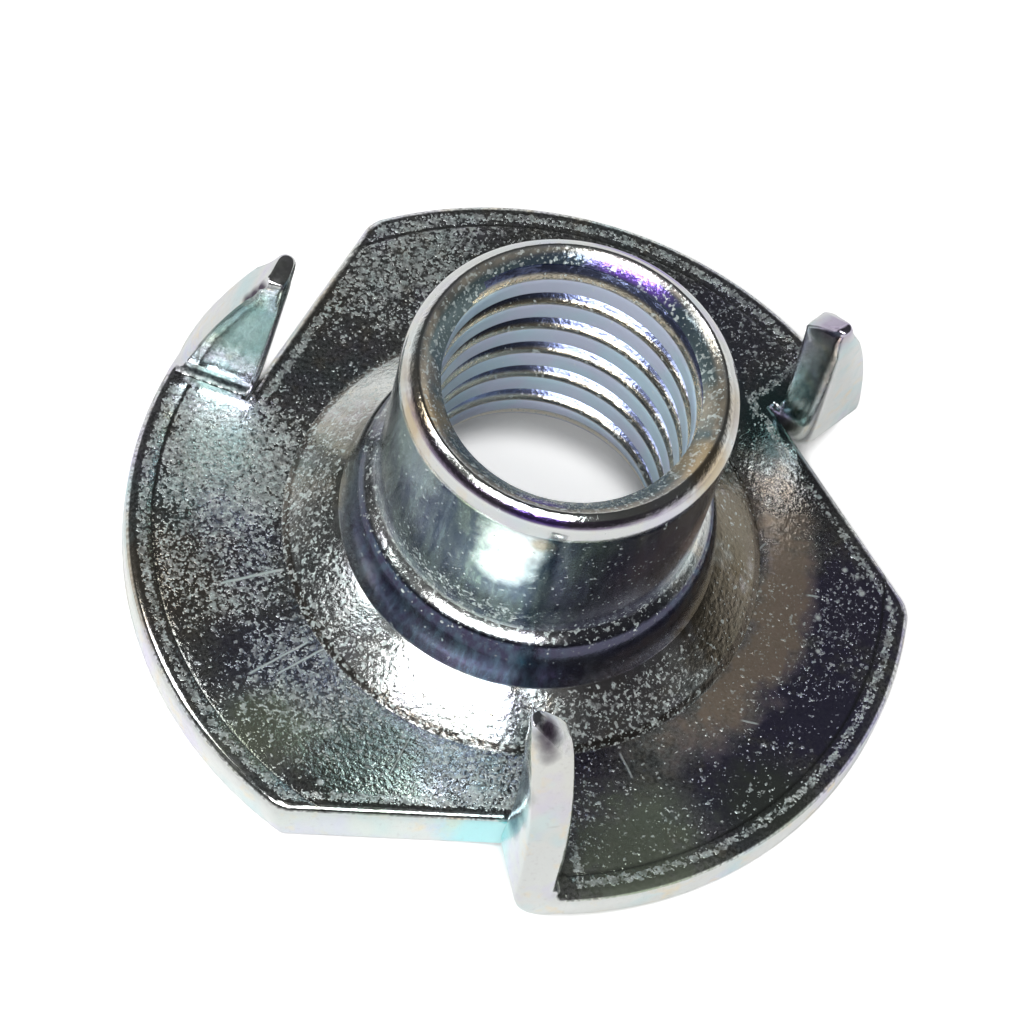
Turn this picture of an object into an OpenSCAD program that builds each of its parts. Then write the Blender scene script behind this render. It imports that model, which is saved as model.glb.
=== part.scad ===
// Three-prong tee nut: a round pressed-steel flange with a drawn, tapped barrel in the middle.
// Three segments of the flange are lanced along straight cuts and bent up into prongs.
// Z = 0 is the underside of the flange, the barrel rises along +Z, and the bore is on the Z axis.

/* [Part] */
// Which piece to draw

/* [Thread] */
// Nominal diameter of the thread in the barrel
thread_d = 8; // [6:0.5:9]
// Pitch of the thread, which sets the tapping bore
thread_pitch = 1.25; // [1:0.05:1.5]
// Depth of the countersink at the rim
mouth_depth = 0.6; // [0.3:0.05:0.8]
// How much wider than the bore the plain entry under the thread is, on the radius
entry_step = 0.5; // [0.3:0.05:0.6]
// Radius of the drawn curve that leads from the underside into the entry
entry_curve = 2; // [1.4:0.1:2.4]

/* [Flange] */
// Diameter of the flange
flange_d = 22; // [21:0.5:26]
// Thickness of the sheet
sheet_t = 1.2; // [0.8:0.05:1.5]
// Radius that blanking rolls onto the top edge
edge_roll = 0.3; // [0.15:0.05:0.5]
// Radius that plating and tumbling leave on the bottom edge
edge_ease = 0.28; // [0.05:0.01:0.3]
// Radius of the corners where the cuts run out at the edge
corner_r = 1.5; // [0.5:0.1:2]
// How deep the lanced segments reach in from the edge
lance_depth = 2.3; // [1.8:0.1:2.6]

/* [Barrel] */
// Height of the nut over everything
nut_h = 9.65; // [8:0.05:14]
// Wall of the barrel outside the thread
barrel_wall = 0.5; // [0.3:0.05:0.9]
// Radius of the rounding on top of the rim
rim_round = 0.3; // [0.1:0.05:0.35]
// How far the rim draws in below that rounding
rim_in = 0.1; // [0.05:0.01:0.15]
// Height of the steep foot that the barrel rises from, over the flange
foot_h = 2.7; // [2:0.1:3.5]
// Width of the foot at its base, outside the barrel
foot_w = 0.75; // [0.5:0.05:1]
// Width of the coned ring round the foot
cone_w = 1.45; // [1:0.05:1.8]
// Rise of the coned ring
cone_h = 1.05; // [0.5:0.05:1.4]

/* [Prongs] */
// Height of the prongs over the underside
prong_h = 7.2; // [5:0.1:8]
// How far the inner face of each prong stands back from the line through the axis
prong_set = 1.3; // [0.8:0.1:2]
// How far the tips stand in from the edge of the flange
tip_inset = 2.6; // [2.3:0.1:2.8]
// Radius of the rounded tips
tip_r = 0.3; // [0.2:0.02:0.4]
// Slant of the tips, which are highest on the outside of the bend
tip_slant = 58; // [20:1:60]
// How far below the top of a tip the coined facet at its outer corner passes
coin_drop = 0.6; // [0.5:0.05:0.8]
// Lean of the prongs from square, over the gap they were cut from
prong_lean = 1.1; // [0:0.1:5]
// Inside radius of the prong bends
bend_r = 0.2; // [0.15:0.05:0.5]
// Outside radius of the prong bends, which forming has set sharper than the sheet asks
bend_out_r = 1; // [0.8:0.05:1.2]
// How much forming thins the sheet under the prong bends
bend_thin = 0.2; // [0.05:0.05:0.3]

/* [Hidden] */
prong_n = 3;
eps = 0.01;
big = 2 * flange_d;
steel = [0.62, 0.65, 0.66];
$fn = 96;

flange_r = flange_d / 2;
bore_r = (thread_d - thread_pitch) / 2;
entry_r = bore_r + entry_step;
barrel_r = thread_d / 2 + barrel_wall;

// the lanced cut: the way its middle faces, and how far from the axis it passes
cut_turn = 286.2;
cut_x = flange_r - lance_depth;
// the prong's own frame is turned on from the cut, so that X runs along its bend line
prong_turn = 10.8;
bend_y = bend_r - prong_set;
bend_z = sheet_t + bend_r;
// where the cut meets the bend line, and where the bend line meets the edge
root_in = (cut_x + bend_y * sin(prong_turn)) / cos(prong_turn);
root_out = sqrt(flange_r ^ 2 - bend_y ^ 2);
// the two long edges of a prong are arcs that run into its round tip
tip_c = [flange_r - tip_inset, prong_h - tip_r];
outer_edge_r = 15.5;
inner_edge_r = 34;
// how far the foot of a prong is let into the flange
let_in = 0.1;
// the way the coined facet faces: its turn from the bend line and its rise
coin_turn = 36;
coin_rise = 40;

// the point at distance ra from a and rb from b, on the left of the way from a to b
function meet(a, ra, b, rb) =
    let (d = norm(b - a), u = (b - a) / d, along = (d ^ 2 + ra ^ 2 - rb ^ 2) / (2 * d))
    a + along * u + sqrt(ra ^ 2 - along ^ 2) * [-u[1], u[0]];

// the way from c to p, as an angle
function heading(c, p) = atan2(p[1] - c[1], p[0] - c[0]);

// points of an arc about c, from angle a0 to a1
function arc(c, r, a0, a1, n = 5) =
    [for (i = [0 : n]) c + r * [cos(a0 + (a1 - a0) * i / n), sin(a0 + (a1 - a0) * i / n)]];

module ring_of_three() {
    for (k = [0 : prong_n - 1]) rotate(360 / prong_n * k) children();
}

// a round of the sheet with its top edge rolled and its bottom edge eased
module blank(r) {
    rotate_extrude() polygon(concat(
        [[0, 0]],
        arc([r - edge_ease, edge_ease], edge_ease, -90, 0, 3),
        arc([r - edge_roll, sheet_t - edge_roll], edge_roll, 0, 90),
        [[0, sheet_t]]
    ));
}

// plan of the gap that one lanced segment leaves
module gap_plan() {
    intersection() {
        rotate(cut_turn) translate([cut_x, -big / 2]) square(big);
        rotate(cut_turn + prong_turn) translate([0, bend_y - big]) square(big);
    }
}

// what rounds an edge of radius r along one cut, stopped short of the prong
module edge_bar(r) {
    stop = root_in * sin(prong_turn) + bend_y * cos(prong_turn);
    translate([cut_x - r, stop, 0]) rotate([90, 0, 0]) linear_extrude(flange_r) difference() {
        square(2 * r);
        circle(r + eps);
    }
}

module cut_edges() {
    rotate(cut_turn) {
        translate([0, 0, sheet_t - edge_roll]) edge_bar(edge_roll);
        translate([0, 0, edge_ease]) mirror([0, 0, 1]) edge_bar(edge_ease);
    }
}

// rounds the corner where one cut runs out at the edge
module corner_cutter() {
    along = -sqrt((flange_r - corner_r) ^ 2 - (cut_x - corner_r) ^ 2);
    centre = [cut_x - corner_r, along];
    rotate(cut_turn) translate([centre[0], centre[1], -1]) linear_extrude(sheet_t + 2) difference() {
        polygon([[0, 0], 2 * corner_r * [1, 0], 3 * corner_r * centre / norm(centre)]);
        circle(corner_r + 3 * eps);
    }
}

module flange() {
    difference() {
        blank(flange_r);
        translate([0, 0, -1]) linear_extrude(sheet_t + 2) ring_of_three() gap_plan();
        ring_of_three() cut_edges();
        ring_of_three() corner_cutter();
    }
}

// section of a prong and its bend, in the plane across the bend line
module prong_section() {
    bend_c = [bend_y, bend_z];
    out = -[cos(prong_lean), sin(prong_lean)];
    up = [out[1], -out[0]];
    blade_h = prong_h - bend_z;
    round_c = bend_c + (bend_r + sheet_t - tip_r) * out + (blade_h - tip_r) * up;
    slant_start = round_c + tip_r * (cos(90 - tip_slant) * -out + sin(90 - tip_slant) * up);
    slant_w = sheet_t - tip_r * (1 + cos(90 - tip_slant));
    slant_end = slant_start - slant_w * out - slant_w * tan(tip_slant) * up;
    aside = (bend_r + sheet_t - bend_out_r) * out;
    rise = (bend_thin + bend_out_r - bend_z - aside[1]) / up[1];
    polygon(concat(
        arc(bend_c + aside + rise * up, bend_out_r, 180 + prong_lean, 270, 7),
        [[bend_y + let_in, bend_thin], [bend_y + let_in, sheet_t]],
        arc(bend_c, bend_r, 270, 180 + prong_lean, 4),
        [slant_end],
        arc(round_c, tip_r, 90 - tip_slant + prong_lean, 180 + prong_lean)
    ));
}

// outline of a prong, seen square to its face
module prong_outline() {
    foot_out = [root_out, 0];
    foot_in = [root_in, 0];
    outer_c = meet(foot_out, outer_edge_r, tip_c, outer_edge_r - tip_r);
    inner_c = meet(foot_in, inner_edge_r, tip_c, inner_edge_r + tip_r);
    tip_out = heading(outer_c, tip_c);
    tip_in = heading(inner_c, tip_c);
    polygon(concat(
        arc(outer_c, outer_edge_r, heading(outer_c, foot_out), tip_out, 9),
        arc(tip_c, tip_r, tip_out, 180 + tip_in, 7),
        arc(inner_c, inner_edge_r, tip_in, heading(inner_c, foot_in), 6)
    ));
}

// what coins the outer corner of a tip, up to the facet
module coin() {
    block = 4 * sheet_t;
    translate([tip_c[0] + tip_r, bend_y - 0.75 * sheet_t, prong_h - coin_drop])
        rotate([0, -coin_rise, coin_turn]) translate([0, -block / 2, -block / 2]) cube(block);
}

module prong() {
    rotate(cut_turn + prong_turn) difference() {
        intersection() {
            rotate([90, 0, 90]) linear_extrude(flange_r) prong_section();
            rotate([90, 0, 0]) linear_extrude(big, center = true) prong_outline();
        }
        coin();
    }
}

module barrel_outside() {
    foot_top = sheet_t + foot_h;
    foot_r = barrel_r + foot_w;
    cone_r = foot_r + cone_w;
    ledge_r = barrel_r + 0.18;
    ledge_drop = 0.15;
    neck_r = barrel_r - 0.05;
    neck_h = 0.3;
    rim_r = barrel_r - rim_in;
    rim_drop = 0.75;
    rotate_extrude() polygon(concat(
        [[0, 0], [cone_r, 0], [cone_r, sheet_t], [foot_r, sheet_t + cone_h]],
        [[ledge_r, foot_top - ledge_drop], [neck_r, foot_top], [barrel_r, foot_top + neck_h]],
        [[barrel_r, nut_h - rim_drop]],
        arc([rim_r - rim_round, nut_h - rim_round], rim_round, 0, 90),
        [[0, nut_h]]
    ));
}

// what is taken out along the axis: entry curve, tapping bore and countersink
module bore() {
    flare_r = entry_r + entry_curve;
    thread_z = entry_curve + entry_step;
    translate([0, 0, -1]) cylinder(r = bore_r, h = nut_h + 2);
    translate([0, 0, nut_h - mouth_depth])
        cylinder(r1 = bore_r, r2 = bore_r + mouth_depth + eps, h = mouth_depth + eps);
    rotate_extrude() difference() {
        polygon([
            [0, -1], [flare_r, -1], [flare_r, entry_curve],
            [entry_r, entry_curve], [bore_r - eps, thread_z + eps], [0, thread_z + eps]
        ]);
        translate([flare_r, entry_curve]) circle(entry_curve);
    }
}

module tee_nut() {
    color(steel) difference() {
        union() {
            flange();
            ring_of_three() prong();
            barrel_outside();
        }
        bore();
    }
}

tee_nut();
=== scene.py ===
"""A pressed-steel tee nut with three prongs and a threaded barrel, bright zinc plated, on a white table."""
import math

import bpy
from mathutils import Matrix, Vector


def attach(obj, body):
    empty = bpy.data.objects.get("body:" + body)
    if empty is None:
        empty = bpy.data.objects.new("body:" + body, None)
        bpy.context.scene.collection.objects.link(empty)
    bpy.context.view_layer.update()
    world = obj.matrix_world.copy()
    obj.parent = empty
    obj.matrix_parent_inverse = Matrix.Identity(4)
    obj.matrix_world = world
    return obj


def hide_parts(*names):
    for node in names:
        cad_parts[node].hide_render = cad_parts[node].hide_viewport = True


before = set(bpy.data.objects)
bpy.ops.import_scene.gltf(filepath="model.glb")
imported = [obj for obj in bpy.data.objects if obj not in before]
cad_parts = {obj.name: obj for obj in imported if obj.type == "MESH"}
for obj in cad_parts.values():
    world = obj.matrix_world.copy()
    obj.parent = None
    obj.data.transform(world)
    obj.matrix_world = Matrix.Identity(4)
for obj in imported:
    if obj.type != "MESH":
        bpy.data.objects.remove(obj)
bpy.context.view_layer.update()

# ------------------------------------------------------------------ sizes in millimetres, turns in degrees
FLANGE_R = 11.0
SHEET = 1.2
TOP_ROLL = 0.3
BOTTOM_EASE = 0.15
CREASE_R = 6.7
CUT_TURN = 286.2
CUT_X = 8.7
DRAG = 0.14
CORNER_R = 1.3
PRONG_TURN = 297.0
PRONG_COUNT = 3
PRONG_STEP = 360 // PRONG_COUNT
BEND_Y = -1.1
BEND_Z = 1.4
PITCH = 1.25
CREST_R = 3.41
ROOT_R = 3.84
THREAD_RISE = 0.39
ENTRY_Z = 2.5
FLARE_R = 2.0
FLARE_Z = 2.75
MOUTH_Z = 9.236
MOUTH_SLOPE = 1.0
BARREL_R = 4.5
RIM_Z = 9.0
CORE_R = 2.8
STEPS = 240


# ------------------------------------------------------------------ the bench: ways of working a mesh
def put_down():
    """Leave nothing selected."""
    if bpy.context.object and bpy.context.object.mode != "OBJECT":
        bpy.ops.object.mode_set(mode="OBJECT")
    bpy.ops.object.select_all(action="DESELECT")


def pick(piece):
    put_down()
    piece.select_set(True)
    bpy.context.view_layer.objects.active = piece


def edit(piece):
    pick(piece)
    bpy.ops.object.mode_set(mode="EDIT")


def select_vertices(piece, wanted):
    """Select the vertices whose place passes the test."""
    bpy.ops.object.mode_set(mode="EDIT")
    bpy.ops.mesh.select_mode(type="VERT")
    bpy.ops.mesh.select_all(action="DESELECT")
    bpy.ops.object.mode_set(mode="OBJECT")
    for vertex in piece.data.vertices:
        vertex.select = wanted(vertex.co)
    bpy.ops.object.mode_set(mode="EDIT")


def take_all():
    bpy.ops.mesh.select_all(action="SELECT")


def face_outwards():
    """Turn every face outwards."""
    take_all()
    bpy.ops.mesh.normals_make_consistent(inside=False)


def extrude(step):
    """Draw what is selected out by a step, with new walls behind it."""
    bpy.ops.mesh.extrude_region_move(TRANSFORM_OT_translate={"value": step})


def turn(degrees, axis, about=(0, 0, 0)):
    """Turn what is selected counter-clockwise about an axis through a point."""
    bpy.ops.transform.rotate(value=-math.radians(degrees), orient_axis=axis, center_override=about)


def draw_line(name, points, closed=True):
    """A line drawn from point to point."""
    put_down()
    bpy.ops.mesh.primitive_circle_add(vertices=3, radius=0.1)
    piece = bpy.context.object
    piece.name = name
    bpy.ops.object.mode_set(mode="EDIT")
    bpy.ops.mesh.select_mode(type="VERT")
    take_all()
    bpy.ops.mesh.merge(type="CENTER")
    bpy.ops.transform.translate(value=points[0])
    last = points[0]
    for point in points[1:]:
        step = tuple(b - a for a, b in zip(last, point))
        extrude(step)
        last = point
    if closed:
        take_all()
        bpy.ops.mesh.edge_face_add()
    return piece


def arc(centre, radius, start, end, steps):
    """Points of an arc, from one angle to another."""
    turns = [math.radians(start + (end - start) * i / steps) for i in range(steps + 1)]
    return [(centre[0] + radius * math.cos(angle), centre[1] + radius * math.sin(angle)) for angle in turns]


def spoke(length, degrees):
    """The point at the end of a spoke from the middle, turned that far."""
    return (length * math.cos(math.radians(degrees)), length * math.sin(math.radians(degrees)))


def apply(piece, kind, **settings):
    pick(piece)
    modifier = piece.modifiers.new(kind.lower(), kind)
    for name, value in settings.items():
        setattr(modifier, name, value)
    bpy.ops.object.modifier_apply(modifier=modifier.name)


def cut_away(piece, tool):
    apply(piece, "BOOLEAN", operation="DIFFERENCE", object=tool, solver="EXACT")
    bpy.data.objects.remove(tool)


def weld_on(piece, other):
    apply(piece, "BOOLEAN", operation="UNION", object=other, solver="EXACT")
    bpy.data.objects.remove(other)


def ring_of_three(piece):
    """Two more copies of a piece a third of a turn apart, each with its own mesh, joined into one."""
    put_down()
    copies = [piece]
    for count in (1, 2):
        other = piece.copy()
        other.data = piece.data.copy()
        bpy.context.collection.objects.link(other)
        edit(other)
        take_all()
        turn(PRONG_STEP * count, "Z")
        copies.append(other)
    put_down()
    for one in copies:
        one.select_set(True)
    bpy.context.view_layer.objects.active = piece
    bpy.ops.object.join()
    return piece


# ------------------------------------------------------------------ the turned blank
def make_blank():
    """Flange, cone and barrel as one round, spun from its section."""
    under = [(CORE_R, FLARE_Z)] + arc((CREST_R + FLARE_R, FLARE_Z), FLARE_R, 180, 230, 7)
    under += [(4.35, 1.03), (4.65, 0.81), (5.0, 0.58), (5.4, 0.35), (5.85, 0.15), (6.3, 0.03), (6.6, 0.0)]
    edge = arc((FLANGE_R - BOTTOM_EASE, BOTTOM_EASE), BOTTOM_EASE, -90, 0, 4)
    edge += arc((FLANGE_R - TOP_ROLL, SHEET - TOP_ROLL), TOP_ROLL, 0, 90, 6)
    top = [(10.62, SHEET), (10.32, 1.195), (10.25, 1.165)]
    top += [(r, SHEET) for r in (10.18, 9.6, 8.8, 8.0, 7.2, 6.78)] + [(CREASE_R, 1.18)]
    cone = [(6.55, 1.31), (5.9, 1.8), (5.4, 2.16), (5.25, 2.26)]
    foot = [(5.22, 2.4), (5.19, 2.65), (5.13, 3.0), (5.05, 3.35), (4.95, 3.65), (4.87, 3.81), (4.82, 3.88)]
    foot += [(4.74, 3.945), (4.64, 4.015), (4.55, 4.08), (4.49, 4.14)]
    wall = [(4.47, 4.24), (4.48, 4.4), (BARREL_R, 4.7), (BARREL_R, 5.6), (BARREL_R, 7.5), (BARREL_R, 8.6)]
    rim = [(4.515, 8.9), (4.52, 9.1), (4.512, 9.25), (4.49, 9.38), (4.46, 9.48), (4.43, 9.545), (4.4, 9.59)]
    rim += [(4.36, 9.64), (4.31, 9.69), (4.26, 9.733), (4.21, 9.771), (4.16, 9.806), (4.13, 9.825)]
    rim += [(4.11, 9.833), (4.09, 9.835), (4.06, 9.826), (4.02, 9.802), (3.97, 9.768), (3.91, 9.726)]
    rim += [(3.84, 9.672), (3.76, 9.604)]
    mouth = [(3.68, 9.53), (3.6, 9.45), (3.5, 9.34), (3.4, 9.23), (CORE_R, 8.55)]
    section = under + edge + top + cone + foot + wall + rim + mouth
    blank = draw_line("tee_nut_body", [(r, 0, z) for r, z in section])
    take_all()
    bpy.ops.mesh.delete(type="ONLY_FACE")
    take_all()
    bpy.ops.mesh.spin(steps=STEPS, angle=math.tau, center=(0, 0, 0), axis=(0, 0, 1))
    take_all()
    bpy.ops.mesh.remove_doubles(threshold=1e-4)
    face_outwards()
    return blank


def lift_underside(blank):
    """The punch leaves the edge of the underside a little high beside each prong."""
    for order in range(PRONG_COUNT):
        root = PRONG_TURN - 6 + PRONG_STEP * order
        lifts = ((34, 0.03), (28, 0.03), (23, 0.04), (18, 0.04), (13, 0.04), (8, 0.04), (4, 0.03))
        for reach, lift in lifts:
            def beside(place, root=root, reach=reach):
                away = (math.degrees(math.atan2(place.y, place.x)) - root + 180) % 360 - 180
                return place.z < 0.4 and math.hypot(place.x, place.y) > 10 and -8 < away < reach
            select_vertices(blank, beside)
            bpy.ops.transform.translate(value=(0, 0, lift))


def make_tap():
    """A threaded rod that cuts the thread: one pitch of its section, screwed up through the barrel."""
    start = -1.0
    turns = 10
    tooth = [(CREST_R, 0), (CREST_R, 0.42), (CREST_R + 0.015, 0.52), (CREST_R + 0.05, 0.61)]
    tooth += [(CREST_R + 0.11, 0.68), (CREST_R + 0.2, 0.74), (ROOT_R - 0.03, 0.86), (ROOT_R, 0.89)]
    tooth += [(ROOT_R, 0.97), (ROOT_R - 0.03, 1.0), (CREST_R + 0.02, 1.22), (CREST_R, PITCH)]
    tap = draw_line("tap", [(r, 0, start + z) for r, z in tooth], closed=False)
    steps = {"steps": STEPS, "render_steps": STEPS}
    apply(tap, "SCREW", axis="Z", angle=math.tau, screw_offset=PITCH, iterations=turns, **steps)
    edit(tap)
    take_all()
    bpy.ops.mesh.remove_doubles(threshold=1e-4)
    # the lowest crest's lower edge comes at the right height at the back
    bpy.ops.transform.translate(value=(0, 0, THREAD_RISE))
    middle = start + THREAD_RISE + (turns + 1) / 2 * PITCH
    for low in (True, False):
        bpy.ops.mesh.select_mode(type="VERT")
        bpy.ops.mesh.select_all(action="DESELECT")
        bpy.ops.mesh.select_non_manifold(
            extend=False, use_wire=False, use_multi_face=False, use_non_contiguous=False, use_verts=False)
        bpy.ops.object.mode_set(mode="OBJECT")
        for vertex in tap.data.vertices:
            if (vertex.co.z > middle) == low:
                vertex.select = False
        for line in tap.data.edges:
            line.select = all(tap.data.vertices[v].select for v in line.vertices) and line.select
        bpy.ops.object.mode_set(mode="EDIT")
        bpy.ops.mesh.select_mode(type="EDGE")
        extrude((0, 0, -0.5 if low else 0.5))
        bpy.ops.mesh.merge(type="CENTER")
    bpy.ops.mesh.select_mode(type="VERT")
    take_all()
    bpy.ops.mesh.bisect(plane_co=(0, 0, ENTRY_Z), plane_no=(0, 0, 1), use_fill=True, clear_inner=True)
    # the thread grows shallow where it runs out into the mouth
    for count in range(12):
        def near_top(place, low=8.45 + 0.09 * count):
            return place.z > low and math.hypot(place.x, place.y) > CREST_R + 0.15
        select_vertices(tap, near_top)
        bpy.ops.transform.resize(value=(0.997, 0.997, 1), center_override=(0, 0, 0))
    face_outwards()
    return tap


def make_gap_cutters():
    """What punches the three gaps: a block whose end rounds the cut's top and bottom edges."""
    side = [(CUT_X + DRAG, BOTTOM_EASE), (CUT_X, SHEET - TOP_ROLL)]
    low = arc((CUT_X + DRAG - BOTTOM_EASE, BOTTOM_EASE - 0.005), BOTTOM_EASE, 0, -75, 4)[1:]
    high = arc((CUT_X - TOP_ROLL, SHEET - TOP_ROLL + 0.01), TOP_ROLL, 0, 75, 5)[1:]
    far, over, below = CUT_X + 4.0, 2.5, -1.0
    lead = 0.4
    fall = lead * math.tan(math.radians(15))
    low_end = (low[-1][0] - lead, low[-1][1] - fall)
    high_end = (high[-1][0] - lead, high[-1][1] + fall)
    block = [high_end, (high_end[0], over), (far, over), (far, below), (low_end[0], below), low_end]
    cutter = draw_line("gap", [(x, 3.0, z) for x, z in low[::-1] + side + high + block])
    take_all()
    extrude((0, -16, 0))
    face_outwards()
    across = math.radians(PRONG_TURN - CUT_TURN)
    normal = (-math.sin(across), math.cos(across), 0)
    point = (BEND_Y * normal[0], BEND_Y * normal[1], 0)
    take_all()
    bpy.ops.mesh.bisect(plane_co=point, plane_no=normal, use_fill=True, clear_outer=True)
    take_all()
    turn(CUT_TURN, "Z")
    return ring_of_three(cutter)


def make_corner_cutters():
    """What rounds the corners where the cuts run out: it drags and rounds the edges as the cuts do."""
    centre = (CUT_X - CORNER_R, -math.sqrt((FLANGE_R - CORNER_R) ** 2 - (CUT_X - CORNER_R) ** 2))
    way = math.degrees(math.atan2(centre[1], centre[0]))
    low, high = CORNER_R + DRAG + 0.02, CORNER_R + 0.02
    rings = [(low - BOTTOM_EASE, -1.0)]
    rings += arc((low - BOTTOM_EASE, BOTTOM_EASE), BOTTOM_EASE, -75, 0, 4)
    rings += arc((high - TOP_ROLL, SHEET - TOP_ROLL), TOP_ROLL, 0, 75, 5)
    rings += [(high - TOP_ROLL, 3.0)]
    inner = arc((0, 0), rings[0][0], 0, way, 8)
    far = [spoke(2.4 * CORNER_R, way), spoke(3 * CORNER_R, way / 2), (2.4 * CORNER_R, 0.001)]
    outline = [(centre[0] + x, centre[1] + y, rings[0][1]) for x, y in inner + far]
    cutter = draw_line("corner", outline)
    take_all()
    for (last_r, last_z), (r, z) in zip(rings, rings[1:]):
        extrude((0, 0, z - last_z))
        about = (centre[0], centre[1], z)
        bpy.ops.transform.resize(value=(r / last_r, r / last_r, 1), center_override=about)
    face_outwards()
    turn(CUT_TURN, "Z")
    return ring_of_three(cutter)


# ------------------------------------------------------------------ the prongs
BLADE_H = 7.0
FOOT_OUT = 10.945
TIP_X = 8.4
TIP_R = 0.3
# Each prong came off the tool a little different. The height is before its tip is smoothed, foot_in is where
# its inner edge starts, bulge and hollow bow its two edges, and bow bends the whole blade. bend sets off the
# outside of its bend. slope and crown shape the tip. coin is a point of the coined corner, counted from the
# middle of the tip, and coin_way is the way that corner faces.
PRONGS = (
    {"height": 7.62, "lean": 1.1, "foot_in": 8.647, "bulge": 0.43, "hollow": 0.18, "bow": 0.17,
     "bend": (0.40, 0.05, 1.03), "slope": 40, "crown": 0.24,
     "coin": (0.33, -1.98, -0.59), "coin_way": (0.590, 0.430, 0.683)},
    {"height": 7.40, "lean": 1.0, "foot_in": 8.647, "bulge": 0.43, "hollow": 0.18, "bow": 0.05,
     "bend": (0.56, 0.38, 0.95), "slope": 46, "crown": 0.22,
     "coin": (0.36, -1.95, -0.56), "coin_way": (0.620, 0.450, 0.643)},
    {"height": 7.06, "lean": 0.5, "foot_in": 8.530, "bulge": 0.36, "hollow": -0.02, "bow": 0.05,
     "bend": (0.45, 0.15, 1.00), "slope": 14, "crown": 0.20,
     "coin": (0.50, -1.36, -0.80), "coin_way": (0.649, 0.575, 0.497)},
)


def edge_at(share, foot, tip, bulge):
    """How far out an edge of the blade stands, at a share of its height."""
    return foot + (tip - foot) * share + 4 * bulge * share * (1 - share)


def bend_reach(angle, beside, below, radius):
    """How far the outside of the bend stands from its axis; its round is set off to one side and down."""
    across, down = math.sin(angle), math.cos(angle)
    if across / down < beside / (below + radius):
        return (below + radius) / down
    if down / across < below / (beside + radius):
        return (beside + radius) / across
    along = beside * across + below * down
    aside = beside * down - below * across
    return along + math.sqrt(radius ** 2 - aside ** 2)


def trim(prong, point, way, crown, shrink):
    """Cut the prong off across a plane and crown the cut, so that its border is rounded."""
    take_all()
    low = tuple(p - crown * n for p, n in zip(point, way))
    bpy.ops.mesh.bisect(plane_co=low, plane_no=way, use_fill=True, clear_outer=True)
    bpy.ops.object.mode_set(mode="OBJECT")
    cap = max(prong.data.polygons, key=lambda face: 10 * face.normal.dot(Vector(way)) + face.area)
    middle = tuple(cap.center)
    for group in (prong.data.polygons, prong.data.edges, prong.data.vertices):
        for part in group:
            part.select = False
    cap.select = True
    bpy.ops.object.mode_set(mode="EDIT")
    bpy.ops.mesh.select_mode(type="FACE")
    rise, width = 0.0, 1.0
    for angle in (18, 36, 54, 72, 90):
        new_rise = crown * math.sin(math.radians(angle))
        new_width = 1 - (1 - shrink) * (1 - math.cos(math.radians(angle)))
        extrude(tuple((new_rise - rise) * n for n in way))
        about = tuple(m + new_rise * n for m, n in zip(middle, way))
        bpy.ops.transform.resize(value=(new_width / width,) * 3, center_override=about)
        rise, width = new_rise, new_width
    bpy.ops.mesh.select_mode(type="VERT")


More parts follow.
